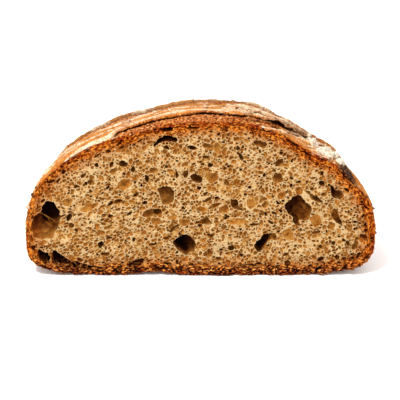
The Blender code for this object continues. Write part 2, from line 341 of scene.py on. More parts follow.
def sole_height(x, y, drop):
    """Height of the underside, from its drop below the waist."""
    height = WAIST - drop - SOLE_CUT * drop / WAIST
    dent = SOLE_DENT_RISE * np.exp(-((x - SOLE_DENT_X) / SOLE_DENT_REACH) ** 2)
    return np.maximum(0, height) + dent * np.exp(-(y / SOLE_DENT_REACH) ** 2)


def outline():
    """The cut's outline as points, left end first, over the crown and back along the sole."""
    x = -HALF_WIDTH * np.cos(np.linspace(0, math.pi, 260))
    top = np.stack([x, WAIST + crown_rise(x)], axis=1)
    back = x[::-1]
    bottom = np.stack([back, sole_height(back, 0.0, heel_drop(back))], axis=1)
    return np.concatenate([top, bottom[1:-1]])


def way_inside(x, z):
    """How far points of the cut lie inside its outline, negative outside, and how far along the
    outline their nearest place on it is."""
    points = outline()
    nearest = np.full(x.shape, 1e9)
    along = np.zeros(x.shape)
    passed = 0.0
    for (ax, az), (bx, bz) in zip(points, np.roll(points, -1, axis=0)):
        run_x = bx - ax
        run_z = bz - az
        square = run_x * run_x + run_z * run_z + 1e-9
        part = np.clip(((x - ax) * run_x + (z - az) * run_z) / square, 0, 1)
        gap = (ax + part * run_x - x) ** 2 + (az + part * run_z - z) ** 2
        along = np.where(gap < nearest, passed + part * math.sqrt(square), along)
        nearest = np.minimum(nearest, gap)
        passed += math.sqrt(square)
    within = (np.abs(x) < HALF_WIDTH) & (z < WAIST + crown_rise(x))
    within &= z > sole_height(x, 0.0, heel_drop(x))
    return np.where(within, 1, -1) * np.sqrt(nearest), along


def foam_depths():
    """Depths of the foam's grid: close together at the cut and farther apart behind it."""
    depths = [FOAM_FRONT]
    while depths[-1] < FOAM_BACK:
        depths.append(depths[-1] + STEP * (1 + 1.3 * float(smooth(2.2, 8.0, depths[-1]))))
    return np.array(depths, np.float32)


def way_outside(corners, x, z):
    """How far points lie outside a drawn outline, negative within it."""
    nearest = np.full(np.broadcast(x, z).shape, 1e9)
    within = np.zeros(nearest.shape, bool)
    for (ax, az), (bx, bz) in zip(corners, corners[1:] + corners[:1]):
        run_x = bx - ax
        run_z = bz - az
        part = np.clip(((x - ax) * run_x + (z - az) * run_z) / (run_x**2 + run_z**2), 0, 1)
        nearest = np.minimum(nearest, (ax + part * run_x - x) ** 2 + (az + part * run_z - z) ** 2)
        crosses = ((az > z) != (bz > z)) & (x < ax + (z - az) * run_x / (run_z or 1e-9))
        within ^= crosses
    return np.where(within, -1, 1) * np.sqrt(nearest)


class Foam:
    """The crumb behind the cut, on a grid that knows how far each point is from two bubbles."""

    def __init__(self):
        self.low = (-HALF_WIDTH - 1.5, FOAM_FRONT, -1.5)
        across = np.arange(self.low[0], HALF_WIDTH + 1.5, STEP, dtype=np.float32)
        up = np.arange(self.low[2], WAIST + CROWN + 3, STEP, dtype=np.float32)
        self.axes = [across, foam_depths(), up]
        x, y, z = np.meshgrid(*self.axes, indexing="ij", sparse=True)
        self.shape = np.broadcast(x, y, z).shape
        self.nearest = np.full(self.shape, FAR, np.float32)
        self.second = np.full(self.shape, FAR, np.float32)
        self.pits = np.full(self.shape, FAR, np.float32)
        # How far the torn face of the crumb lies behind the plane of the cut
        self.torn = 0.9 * wander(x, 0, z, 8.0, 38)
        self.bend = []
        for index in range(3):
            bend = 0.50 * wander(x, y, z, 3.4, 11 + index) + 0.34 * wander(x, y, z, 1.4, 21 + index)
            self.bend.append(bend + 0.12 * wander(x, y, z, 0.8, 24 + index))
        self.bend[1] -= self.torn
        flat_x, flat_z = np.meshgrid(across, up, indexing="ij")
        self.inside, self.along = way_inside(flat_x, flat_z)
        self.lean_x, self.lean_z = np.gradient(self.inside, STEP)

    def index(self, x, y, z):
        """The grid point nearest to a place."""
        column = int(min(self.shape[0] - 1, max(0, round((x - self.low[0]) / STEP))))
        row = int(min(self.shape[2] - 1, max(0, round((z - self.low[2]) / STEP))))
        depth = int(min(self.shape[1] - 1, np.searchsorted(self.axes[1], y)))
        return column, depth, row

    def box_around(self, low, high):
        """The part of the grid between two corners, or None where there is none."""
        box = []
        for axis, first, last in zip(self.axes, low, high):
            start = max(0, int(np.searchsorted(axis, first)) - 1)
            stop = min(len(axis), int(np.searchsorted(axis, last)) + 1)
            if stop <= start:
                return None
            box.append(slice(start, stop))
        return tuple(box)

    def join(self, box, way):
        """Take in a bubble, given how far each point of a box is outside it."""
        near = self.nearest[box]
        second = self.second[box]
        closer = way < near
        second[...] = np.where(closer, near, np.minimum(second, way))
        near[...] = np.where(closer, way, near)

    def bent_axes(self, box):
        """The places of a box's points, bent out of true, so that no bubble is quite round."""
        places = []
        for index in range(3):
            shape = [1, 1, 1]
            shape[index] = -1
            places.append(self.axes[index][box[index]].reshape(shape) + self.bend[index][box])
        return places

    def blow(self, lobes):
        """Blow a bubble made of lobes that run together: X, Y, Z, three radii and a tilt."""
        reach = 1.3
        low = [1e9] * 3
        high = [-1e9] * 3
        for x, y, z, radius_x, radius_y, radius_z, tilt in lobes:
            wide = max(radius_x, radius_z) + reach
            for axis, place, span in ((0, x, wide), (1, y, radius_y + reach), (2, z, wide)):
                low[axis] = min(low[axis], place - span)
                high[axis] = max(high[axis], place + span)
        box = self.box_around(low, high)
        if box is None:
            return
        bent_x, bent_y, bent_z = self.bent_axes(box)
        way = None
        for x, y, z, radius_x, radius_y, radius_z, tilt in lobes:
            cos, sin = math.cos(tilt), math.sin(tilt)
            run = ((bent_x - x) * cos + (bent_z - z) * sin) / radius_x
            rise = ((bent_z - z) * cos - (bent_x - x) * sin) / radius_z
            back = (bent_y - y) / radius_y
            size = (radius_x * radius_y * radius_z) ** (1 / 3)
            lobe_way = (np.sqrt(run * run + rise * rise + back * back) - 1) * size
            way = lobe_way if way is None else np.minimum(way, lobe_way)
        self.join(box, way)

    def pit_floor(self, column, row, radius):
        """Sink a small pit in the floor of the pore at a place in the cut."""
        at_cut = int(np.searchsorted(self.axes[1], 0))
        floor = np.flatnonzero(self.nearest[column, at_cut:, row] > -0.1)
        if not len(floor):
            return
        depth = at_cut + int(floor[0])
        spot = (column, depth, row)
        centre = [axis[place] + bend[spot] for axis, place, bend in zip(self.axes, spot, self.bend)]
        low = [place - radius - 1 for place in centre]
        high = [place + radius + 1 for place in centre]
        low[1] += self.torn[column, 0, row]
        high[1] += self.torn[column, 0, row]
        box = self.box_around(low, high)
        if box is None:
            return
        bent_x, bent_y, bent_z = self.bent_axes(box)
        square = (bent_x - centre[0]) ** 2 + (bent_y - centre[1]) ** 2 + (bent_z - centre[2]) ** 2
        self.pits[box] = np.minimum(self.pits[box], np.sqrt(square) - radius)

    def hollow_out(self, parts):
        """Sink a cavern whose parts each have a drawn mouth and a sloping floor."""
        corners = np.array([corner for *_, mouth in parts for corner in mouth], float)
        low = corners.min(axis=0) - 2.5
        high = corners.max(axis=0) + 2.5
        deepest = max(depth for depth, *_ in parts)
        box = self.box_around((low[0], FOAM_FRONT, low[1]), (high[0], deepest + 9, high[1]))
        x = self.axes[0][box[0]].reshape(-1, 1)
        z = self.axes[2][box[2]].reshape(1, -1)
        y = self.axes[1][box[1]].reshape(1, -1, 1)
        whole = None
        corner_round = 1.6
        # The sides lean in, the floor slopes and is lumpy, and they meet in a round
        for depth, deeper_x, deeper_z, mouth in parts:
            middle_x, middle_z = np.mean(mouth, axis=0)
            outside = way_outside(mouth, x, z)[:, None, :]
            floor = depth + deeper_x * (x - middle_x) + deeper_z * (z - middle_z)
            floor = np.maximum(floor, 0.6)[:, None, :]
            side = outside + 0.10 * np.maximum(y, 0) + 0.8 * self.bend[0][box]
            lumps = wander(x[:, None, :], y, z[None, :, :], 2.6, 72)
            down = (y - floor) * 0.75 + 0.9 * self.bend[1][box] + 1.1 * lumps
            rounding = np.maximum(0, corner_round - np.abs(side - down))
            way = np.maximum(side, down) + rounding**2 / (4 * corner_round)
            whole = way if whole is None else np.minimum(whole, way)
        self.join(box, whole.astype(np.float32))


def blow_named_pores(foam):
    """Open the caverns and the pores that stand out, whose mouths lie in the cut."""
    for cavern in range(1, CAVERNS[-1][0] + 1):
        foam.hollow_out([part for number, *part in CAVERNS if number == cavern])
    for lobes in [(pore,) for pore in PORES] + list(TWIN_PORES):
        placed = []
        for x, z, half_width, half_height, tilt, depth in lobes:
            set_back = 0.12 * depth
            placed.append((x, set_back, z, half_width, depth - set_back, half_height, math.radians(tilt)))
        foam.blow(placed)


def smeared(x, z):
    """How far the knife smeared the crumb shut at a place, from 0 to 1."""
    most = 0.0
    for middle_x, middle_z, half_width, half_height, tilt in SMEARS:
        cos, sin = math.cos(math.radians(tilt)), math.sin(math.radians(tilt))
        run = ((x - middle_x) * cos + (z - middle_z) * sin) / half_width
        rise = ((z - middle_z) * cos - (x - middle_x) * sin) / half_height
        most = np.maximum(most, np.exp(-1.5 * (run * run + rise * rise) ** 2))
    return most


def lay_of_crumb(foam, column, row, x, z, draw):
    """Stretch and tilt of a small pore at a place in the cut: it lies along the crust near it, leans
    one way at the lower left, and lies anyhow elsewhere."""
    inside = foam.inside[column, row]
    along_crust = math.atan2(-foam.lean_x[column, row], foam.lean_z[column, row])
    near_crust = 1 - float(smooth(3.0, 12.0, inside))
    lower_left = float(smooth(-20, -60, x) * smooth(70, 45, z))
    stretch = 1 + 0.45 * draw.random() + 1.5 * near_crust * draw.random()
    stretch += 0.5 * lower_left * draw.random()
    if draw.random() < near_crust:
        tilt = along_crust
    elif draw.random() < lower_left:
        tilt = math.radians(28)
    else:
        tilt = math.pi * draw.random()
    return stretch, tilt + draw.normal(0, 0.25)


def blow_small_pores(foam):
    """Fill the crumb between the pores that stand out with ever smaller ones."""
    draw = np.random.default_rng(PORE_SEED)
    at_cut = foam.index(0, 0, 0)[1]
    named = foam.nearest[:, at_cut].copy()
    width = 2 * HALF_WIDTH
    height = WAIST + CROWN
    for smallest, largest, count in PORE_SIZES:
        total = int(count * width * height / 100)
        places = draw.random((total, 2)) * (width, height) - (HALF_WIDTH, 0)
        radii = smallest + (largest - smallest) * draw.random(total) ** 1.5
        depths = draw.uniform(-0.55, 0.15, total)
        lucks = draw.random(total)
        shut = smeared(places[:, 0], places[:, 1])
        for (x, z), radius, depth, luck, closed in zip(places, radii, depths, lucks, shut):
            column, _, row = foam.index(x, 0, z)
            inside = foam.inside[column, row]
            # Smaller towards the crust, not across the outline, and few where the knife smeared
            radius = radius * (1 - 0.34 * (1 - min(1, max(0, (inside - 2) / 9))))
            if inside < 0.3 + 0.8 * radius or luck < 0.85 * closed:
                continue
            # In the mouth of a larger pore it is a pit in that pore's floor
            gap = foam.nearest[column, at_cut, row]
            if gap < -1.6 and radius < 0.8 and luck > 0.4:
                foam.pit_floor(column, row, radius)
            # Elsewhere it keeps clear of the others, and most of the pores that stand out
            if gap < 0.30 * radius or named[column, row] < 0.75 * radius:
                continue
            stretch, tilt = lay_of_crumb(foam, column, row, x, z, draw)
            broad = min(1, max(0, radius - 1.2))
            deep = (0.95 - 0.35 * broad) * radius * (1 if radius > 0.9 else 0.75)
            y = (depth - 0.2 * broad) * deep
            # A few are deep, and more of them near the crust
            if radius > 0.85 and luck > (0.84 if inside < 9 else 0.965):
                y, deep = 0.3 * radius, 1.8 * radius
            foam.blow([(x, y, z, radius * stretch, deep, radius / stretch**0.6, tilt)])


def way_to_strand(first, last, x, y, z):
    """How far points lie from a straight strand's middle line."""
    run = last - first
    part = (x - first[0]) * run[0] + (y - first[1]) * run[1] + (z - first[2]) * run[2]
    part = np.clip(part / (run @ run), 0, 1)
    square = (x - first[0] - part * run[0]) ** 2 + (y - first[1] - part * run[1]) ** 2
    return np.sqrt(square + (z - first[2] - part * run[2]) ** 2)


def crumb_field(foam):
    """Where the loaf is solid behind the cut, as a field that is positive in the solid."""
    x, y, z = np.meshgrid(*foam.axes, indexing="ij", sparse=True)
    wall = WALL * (1.0 + 0.7 * wander(x, y, z, 2.6, 31))
    grow = GROW * (1.0 + 0.6 * wander(x, y, z, 4.0, 37))
    hollow = np.minimum(grow - foam.nearest, (foam.second - foam.nearest - wall) / 2)
    hollow = np.maximum(hollow, -foam.pits)
    for first, last, radius in STRANDS:
        hollow = np.minimum(hollow, way_to_strand(np.array(first), np.array(last), x, y, z) - radius)

    # The cut's face is torn, and in the crust's edge it follows the layers of the crust
    ring = (1 - smooth(3.0, 8.0, foam.inside))[:, None, :]
    layers = wander(foam.along / 2.6, 0, foam.inside, 1.3, 34)[:, None, :]
    tear = foam.torn + 0.30 * wander(x, 0, z, 2.4, 33) + 0.20 * wander(x, 0, z, 1.0, 39)
    tear = tear + 0.65 * ring * layers
    rough = 0.08 * wander(x, y, z, 0.9, 32)

    # The outline is flaky at the cut and sunk under the skin behind it
    flake = 0.45 * wander(x, y, z, 1.6, 35) + 0.25 * wander(x, y, z, 0.8, 36)
    sunk = 1.1 * smooth(1.6, 3.6, y)
    skin = foam.inside[:, None, :] - 0.15 + flake * (1 - smooth(1.0, 3.0, y)) - sunk
    hollow = np.minimum(hollow, CLOSED_BACK - y)
    field = np.minimum(-hollow + rough, np.minimum(skin, y - tear))
    return field.astype(np.float32)


def close_hidden(field):
    """Fill every pore that can't be reached from in front of the cut."""
    empty = field <= 0
    reached = np.zeros_like(empty)
    reached[:, 0, :] = empty[:, 0, :]
    count = 0
    most_steps = 160
    for _ in range(most_steps):
        grown = reached.copy()
        grown[1:] |= reached[:-1]
        grown[:-1] |= reached[1:]
        grown[:, 1:] |= reached[:, :-1]
        grown[:, :-1] |= reached[:, 1:]
        grown[:, :, 1:] |= reached[:, :, :-1]
        grown[:, :, :-1] |= reached[:, :, 1:]
        reached = grown & empty
        total = int(reached.sum())
        if total == count:
            break
        count = total
    field[empty & ~reached] = FILLED
    return field


def net_surface(field, axes):
    """The surface where a field passes zero, as points and four-sided faces."""
    solid = field > 0
    corners = [(i, j, k) for i in (0, 1) for j in (0, 1) for k in (0, 1)]
    nx, ny, nz = (size - 1 for size in field.shape)
    count = np.zeros((nx, ny, nz), np.int8)
    for i, j, k in corners:
        count += solid[i:nx + i, j:ny + j, k:nz + k]
    cells = np.argwhere((count > 0) & (count < 8))
    number = np.full((nx, ny, nz), -1, np.int32)
    number[cells[:, 0], cells[:, 1], cells[:, 2]] = np.arange(len(cells))
    values = {}
    for corner in corners:
        spot = cells + corner
        values[corner] = field[spot[:, 0], spot[:, 1], spot[:, 2]]
    total = np.zeros((len(cells), 3), np.float32)
    hits = np.zeros(len(cells), np.float32)
    for first in corners:
        for axis in range(3):
            if first[axis]:
                continue
            second = list(first)
            second[axis] = 1
            start = values[first]
            end = values[tuple(second)]
            crosses = (start > 0) != (end > 0)
            part = np.where(crosses, start / np.where(crosses, start - end, 1), 0)
            point = np.tile(np.array(first, np.float32), (len(cells), 1))
            point[:, axis] = part
            total += point * crosses[:, None]
            hits += crosses
    places = cells + total / hits[:, None]
    points = np.stack([np.interp(places[:, i], np.arange(len(axes[i])), axes[i]) for i in range(3)], axis=1)
    faces = []
    for axis in range(3):
        side, other = (axis + 1) % 3, (axis + 2) % 3
        here = [slice(None)] * 3
        there = [slice(None)] * 3
        here[axis] = slice(0, -1)
        there[axis] = slice(1, None)
        change = solid[tuple(here)] != solid[tuple(there)]
        edges = np.argwhere(change)
        keep = (edges[:, side] > 0) & (edges[:, other] > 0)
        keep &= (edges[:, side] < field.shape[side] - 1) & (edges[:, other] < field.shape[other] - 1)
        edges = edges[keep]
        around = []
        for step_side, step_other in ((-1, -1), (0, -1), (0, 0), (-1, 0)):
            spot = edges.copy()
            spot[:, side] += step_side
            spot[:, other] += step_other
            around.append(number[spot[:, 0], spot[:, 1], spot[:, 2]])
        quad = np.stack(around, axis=1)
        outward = solid[edges[:, 0], edges[:, 1], edges[:, 2]]
        quad[~outward] = quad[~outward][:, ::-1]
        faces.append(quad)
    return points, np.concatenate(faces)


def crust_thickness(x, z):
    """How deep the crust's colour reaches into the crumb, in the cut."""
    low_down = smooth(24, 8, z) * (0.4 + 0.6 * smooth(-95, -60, x))
    right = smooth(55, 92, x) * smooth(5, 20, z)
    top = smooth(60, 95, z)
    return 5.4 + 4.6 * low_down + 4.4 * right + 3.4 * top


def make_mesh(name, points, faces, notes, normals=None):
    """A smooth-shaded mesh object from points in the loaf frame, with notes on its points."""
    data = bpy.data.meshes.new(name)
    data.vertices.add(len(points))
    world = np.array(points, np.float32) * MM
    world[:, 1] += CUT_Y
    data.vertices.foreach_set("co", world.ravel())
    data.loops.add(faces.size)
    data.loops.foreach_set("vertex_index", faces.astype(np.int32).ravel())
    data.polygons.add(len(faces))
    sides = faces.shape[1]
    data.polygons.foreach_set("loop_start", np.arange(len(faces), dtype=np.int32) * sides)
    data.polygons.foreach_set("use_smooth", np.ones(len(faces), bool))
    for note, values in notes.items():
        layer = data.attributes.new(note, "FLOAT", "POINT")
        layer.data.foreach_set("value", np.asarray(values, np.float32))
    data.update()
    data.validate()
    if normals is not None:
        data.normals_split_custom_set_from_vertices(normals)
    piece = bpy.data.objects.new(name, data)
    bpy.context.scene.collection.objects.link(piece)
    return piece


def used_only(points, faces, notes):
    """The points that faces use, with faces and notes to match."""
    used, where = np.unique(faces, return_inverse=True)
    return points[used], where.reshape(faces.shape), {key: value[used] for key, value in notes.items()}


def along_line(line, x):
    """The value at X of a line given by its corners."""
    places, values = zip(*line)
    return np.interp(x, places, values)


def share_after_slant(share, x):
    """A share of the way over the crown, moved by the slashes' slant. The cut stays in place."""
    eased = np.minimum(1, share / SLANT_WHOLE)
    return share + SLASH_SLANT * x * eased * (1 - share)


def share_before_slant(share, x):
    """The place of a share before the slant moved it."""
    before = share
    for _ in range(6):
        before = before - (share_after_slant(before, x) - share)
    return np.clip(before, -0.05, 1)


def surface_signs(x, y, z, share):
    """What the baking left at each place of the crust, in signs that both its relief and its
    colours are read from."""
    across = np.abs(x) / HALF_WIDTH
    signs = {}
    jag = 0.8 * wander(x, 0, 0, 7, 41) + 0.6 * wander(x, y, z, 2.0, 42)
    signs["past_crevice"] = y - along_line(CREVICE_LINE, x) + jag
    # Where the first slash runs, and how far its opening reaches forward
    signs["first_reach"] = smooth(-60, -52, x) * (1 - smooth(64, 80, x)) * (share < 0.5)
    front = y - along_line(OPENING_FRONT, x) + 1.5 * jag
    signs["open_front"] = smooth(-0.5, 1.2, front)
    signs["ends"] = 1 - smooth(*SLASH_FADE, across)

    # The two slashes over the back, ragged along their length
    slit = share_before_slant(share, x)
    signs["slit"] = slit
    signs["back_past"] = []
    for index, ear in enumerate(BACK_EARS):
        jag = 0.014 * wander(x, 0, index * 30, 9, 41) + 0.007 * wander(x, y, z, 1.8, 42)
        signs["back_past"].append(slit + jag - ear)

    # The torn right of the crown. There the streaks lie along the crevice, and elsewhere aslant
    along = crown_way(x)
    ragged = 7 * wander(x, y, z, 8, 63)
    torn = smooth(22, 36, x) * smooth(96, 78, x + ragged) * smooth(46, 30, y + ragged)
    lean = (y - 0.22 * along) * (1 - torn) + signs["past_crevice"] * torn
    run = along + 0.22 * y

    # Flour and cracks run in streaks near the cut and lie in patches behind
    near_cut = smooth(52, 28, y) * smooth(18, 40, z)
    streak = wander(run / 6, lean, 0, 3.4, 43) + 0.45 * wander(run / 4, lean, 0, 1.4, 48)
    patch = 0.8 * wander(x, y, z, 13, 46) + 0.5 * wander(x, y, z, 4.5, 49) + 0.25 * wander(x, y, z, 1.8, 59)
    signs["streak"] = streak * near_cut + patch * (1 - near_cut)
    crack = wander(run / 8, lean, 0, 5.5 - 1.5 * torn, 44) + 0.25 * wander(run / 2, lean, 0, 1.6, 47)
    signs["crack"] = crack * near_cut + 2.2 * wander(x, y, z, 9, 44) * (1 - near_cut)
    signs["torn"] = torn

    # Slits, each with a raised edge behind it
    slits = np.zeros(np.shape(x))
    edges = np.zeros(np.shape(x))
    for offset in SLIT_OFFSETS:
        way = signs["past_crevice"] - offset + 1.6 * wander(along, 0, 9 * offset, 12, 64)
        broken = smooth(-0.60, -0.25, wander(along, 0, 7 * offset, 9, 65))
        slits = np.maximum(slits, np.exp(-(way / (0.8 + 0.05 * abs(offset))) ** 2) * broken)
        edges = np.maximum(edges, smooth(0.1, 1.1, way) * np.exp(-np.maximum(way, 0) / 3.0) * broken)
    signs["slits"] = slits * torn * smooth(1.0, 3.0, y)
    signs["edges"] = edges * torn * smooth(2.0, 5.0, y)

    clump = np.zeros(np.shape(x))
    for place, back, radius, rise in FLOUR_CLUMPS:
        way = np.hypot(x - place, (y - back) * 0.8) / radius + 0.5 * wander(x, y, z, 2.2, 45)
        clump = np.maximum(clump, rise * (1 - smooth(0.45, 1.0, way)))
    signs["clump"] = clump * (z > WAIST)
    return signs


def look_of_skin(x, y, z, share, signs=None):
    """Flour, opened slash, painted shade in crevices, cracks and slits, scorch, sole and clumps on the
    crust, each from 0 to 1.
    """
    signs = signs or surface_signs(x, y, z, share)
    past = signs["past_crevice"]
    first = signs["first_reach"]
    opened = smooth(0.1, -0.5, past) * signs["open_front"] * first
    wide = 1 + 0.8 * signs["torn"]
    # Painted shade: the crevices in front of the ears get a near-black colour, and so do cracks and slits
    # below
    crevice_shade_and_char = smooth(-1.7 * wide, -0.9 * wide, past) * smooth(0.75, 0.2, past) * first
    for wide, back_past in zip(BACK_WIDTHS, signs["back_past"]):
        band = smooth(-wide, -wide + 0.03, back_past) * smooth(0.004, -0.004, back_past) * signs["ends"]
        opened = np.maximum(opened, band)
        crevice_shade_and_char = np.maximum(crevice_shade_and_char, np.exp(-((back_past + 0.004) / 0.006) ** 2) * signs["ends"])
    plain = 1 - opened
    # Cracks and slits get the same painted shade
    crack = np.exp(-(signs["crack"] / 0.09) ** 2) * plain * (z > WAIST)
    crevice_shade_and_char = np.maximum(crevice_shade_and_char, crack * (0.40 + 0.40 * signs["torn"]) * smooth(0, 2, y))
    crevice_shade_and_char = np.maximum(crevice_shade_and_char, signs["slits"])
    crevice_shade_and_char = crevice_shade_and_char * smooth(0.4, 0.0, signs["clump"])

    # Flour lies in the streaks, thinner over the middle and at the two ends
    bare = 0.25 * smooth(-60, -20, x) * smooth(40, 0, x)
    bare = bare + 0.30 * smooth(-76, -92, x) + 0.6 * smooth(86, 94, x) * smooth(70, 40, y)
    on_torn = 0.30 * smooth(0.5, -0.5, past) - 0.30 + 0.5 * signs["edges"]
    flour = smooth(-0.20, 0.30, signs["streak"] + 0.12 - bare + signs["torn"] * on_torn)
    flour = np.maximum(flour, smooth(0.1, 0.5, signs["clump"]))
    flour = flour * (1 - 0.95 * opened) * (1 - crevice_shade_and_char)

    # The first ear's lip is bare and browned, and the flour ends towards the sole
    lip = np.exp(-((past - 1.0) / 0.8) ** 2) * first
    opened = np.maximum(opened, 0.8 * lip)
    flour = flour * (1 - 0.85 * lip) * (1 - 0.8 * smooth(34, 14, z))

    # The right shoulder is scorched
    ragged = 4 * wander(x, y, z, 3.0, 58)
    scorch = smooth(86, 91, x) * smooth(106, 99, x + 0.5 * ragged) * smooth(60, 67, z + 0.5 * ragged)
    scorch = scorch * smooth(26, 14, y + ragged) * smooth(0.5, 0.0, signs["clump"])
    return {
        "flour": flour * (1 - 0.8 * scorch), "opened": opened, "crevice_shade_and_char": crevice_shade_and_char, "scorch": scorch,
        "sole": smooth(16, 3, z), "clump": smooth(0.1, 0.5, signs["clump"]),
    }


def lip_overhang(signs):
    """How far the crust is pulled back under the first ear's lip, and its lip pulled forward."""
    past = signs["past_crevice"]
    under = 2.4 * np.exp(-((past + 0.9) / 0.75) ** 2)
    over = 1.5 * np.exp(-np.maximum(past - 0.9, 0) / 2.5) * smooth(-0.1, 0.7, past)
    return (under - over) * signs["first_reach"]


def crust_relief(x, y, z, signs):
    """Height of the crust over the plain form."""
    past = signs["past_crevice"]
    first = signs["first_reach"]
    tail = 9 + 3 * signs["torn"]

    # The first ear's lip with the crevice in front of it, then the two ears behind
    height = LIP_RISE * np.exp(-np.maximum(past - 1, 0) / tail) * smooth(-0.3, 1.3, past) * first
    height = height - 0.9 * np.exp(-((past + 1.0) / 1.1) ** 2) * first
    ends = signs["ends"] * (1 - smooth(*BACK_FADE, signs["slit"]))
    for back_past in signs["back_past"]:
        height = height + ends * (
            EAR_RISE * np.exp(-np.maximum(back_past, 0) / EAR_FALL) * smooth(-0.001, 0.004, back_past)
            - 2.4 * np.exp(-((back_past + 0.005) / 0.006) ** 2)
        )

    # The opened dough is coarse, and the skin has ridges, cracks, slits and lumps of flour
    opened = smooth(0.1, -0.5, past) * signs["open_front"] * first
    coarse = 0.5 * wander(x / 2, y, z, 2.2, 52) + 0.55 * wander(x / 1.3, y, z, 1.2, 55)
    height = height + 0.9 * wander(x, y, z, 17, 51)
    height = height + opened * coarse
    plain = (1 - opened) * smooth(0, 6, y)
    ridge = 0.55 * signs["streak"] * (1 + 0.8 * signs["torn"])
    crack = np.exp(-(signs["crack"] / 0.12) ** 2)
    crack = crack * smooth(0.4, 0.0, signs["clump"])
    height = height + plain * (ridge - crack * (0.5 + 0.8 * signs["torn"]))
    height = height + (1.5 * signs["edges"] - 2.2 * signs["slits"]) * smooth(0.4, 0.0, signs["clump"])
    height = height + plain * 0.35 * wander(x, y, z, 2.6, 57)
    height = height + signs["torn"] * smooth(6, 14, y) * 0.8 * wander(x, y, z, 3.4, 60)
    lumpy = 1.2 + 0.35 * wander(x, y, z, 1.8, 56)
    height = height + signs["clump"] * lumpy
    height = height + 0.20 * wander(x, y, z, 1.4, 53) + 0.10 * wander(x, y, z, 0.8, 54)
    return height


def skin_grid():
    """Rows of points over the crown, down the heel and under the sole, with their shares."""
    x = -HALF_WIDTH * np.cos(np.linspace(0, math.pi, STATIONS + 1))[1:-1]
    crown_rows = np.concatenate([np.linspace(0, 0.2, FINE_ROWS), np.linspace(0.2, 1, BACK_ROWS)[1:]])
    heel_rows = np.linspace(1, 0, HEEL_ROWS)[1:]
    steps = np.linspace(0, math.pi / 2, 180)
    sine = np.sin(steps)
    cosine = np.abs(np.cos(steps))
    points = np.zeros((len(x), len(crown_rows) + len(heel_rows), 3))
    shares = np.zeros(points.shape[:2])
    reach = waist_reach(x)
    rise = crown_rise(x)
    drop = heel_drop(x)
    for column in range(len(x)):
        y = reach[column] * sine ** (2 / SHOULDER)
        z = WAIST + rise[column] * cosine ** (2 / SHOULDER)
        way = np.concatenate([[0], np.cumsum(np.hypot(np.diff(y), np.diff(z)))])
        wanted = crown_rows * way[-1]
        high = len(crown_rows)
        points[column, :high, 1] = np.interp(wanted, way, y)
        points[column, :high, 2] = np.interp(wanted, way, z)
        y = reach[column] * sine ** (2 / HEEL_BACK)
        fall = drop[column] * cosine ** (2 / HEEL_BACK)
        way = np.concatenate([[0], np.cumsum(np.hypot(np.diff(y), np.diff(fall)))])
        wanted = heel_rows * way[-1]
        heel_y = np.interp(wanted, way, y)
        points[column, high:, 1] = heel_y
        points[column, high:, 2] = sole_height(x[column], heel_y, np.interp(wanted, way, fall))
    points[:, :, 0] = x[:, None]
    shares[:, :len(crown_rows)] = crown_rows
    shares[:, len(crown_rows):] = 1
    return points, shares


def grid_normals(points):
    """Outward normals of a grid of points."""
    along = np.gradient(points, axis=0)
    back = np.gradient(points, axis=1)
    normal = np.cross(along, back)
    normal /= np.linalg.norm(normal, axis=2, keepdims=True) + 1e-9
    middle = normal[len(points) // 2, points.shape[1] // 3]
    return normal if middle[1] > 0 else -normal


def crust_skin():
    """The crust behind the cut, which dips under the cut's own crust, in three pieces: the crown
    near the cut, the crown's back, and the heel with the sole."""
    points, shares = skin_grid()
    normal = grid_normals(points)
    x, y, z = points[:, :, 0], points[:, :, 1], points[:, :, 2]
    signs = surface_signs(x, y, z, shares)
    height = crust_relief(x, y, z, signs)

    # The sole is smooth, where the loaf lay on the hearth
    sole = smooth(6, 1, z) * (shares == 1)
    height = height * (1 - sole) - 0.05 * sole

    # At the cut the relief fades and the skin dips under the cut's own crust
    dip = 1.6 * (1 - smooth(0.6, 2.6, y))
    near_cut = 1 - smooth(1.5, 4.5, y)
    height = height * (1 - near_cut) - dip
    shifted = points + normal * height[:, :, None]
    shifted[:, :, 1] += lip_overhang(signs) * smooth(1.0, 4.0, y)
    shifted[:, :, 1] = np.maximum(shifted[:, :, 1], 0.9)
    shifted[:, :, 2] = np.maximum(shifted[:, :, 2], 0.0)
    notes = look_of_skin(x, y, z, shares, signs)
    outward = grid_normals(shifted)
    last = FINE_ROWS - 1
    pieces = []
    borders = (0, last, last + BACK_ROWS - 1, shifted.shape[1] - 1)
    for name, first, final in zip(("crust_crown", "crust_back", "crust_heel"), borders, borders[1:]):
        part = (slice(None), slice(first, final + 1))
        columns, rows = shifted[part].shape[:2]
        number = np.arange(rows * columns).reshape(columns, rows)
        faces = np.stack([number[:-1, :-1], number[:-1, 1:], number[1:, 1:], number[1:, :-1]], axis=-1)
        faces = faces.reshape(-1, 4)
        flat = shifted[part].reshape(-1, 3)
        middle = faces[len(faces) // 2]
        turn = np.cross(flat[middle[1]] - flat[middle[0]], flat[middle[2]] - flat[middle[0]])
        if turn @ outward[part].reshape(-1, 3)[middle[0]] < 0:
            faces = faces[:, ::-1]
        flat_notes = {key: value[part].ravel() for key, value in notes.items()}
        pieces.append(make_mesh(name, flat, faces, flat_notes, outward[part].reshape(-1, 3)))
    return pieces


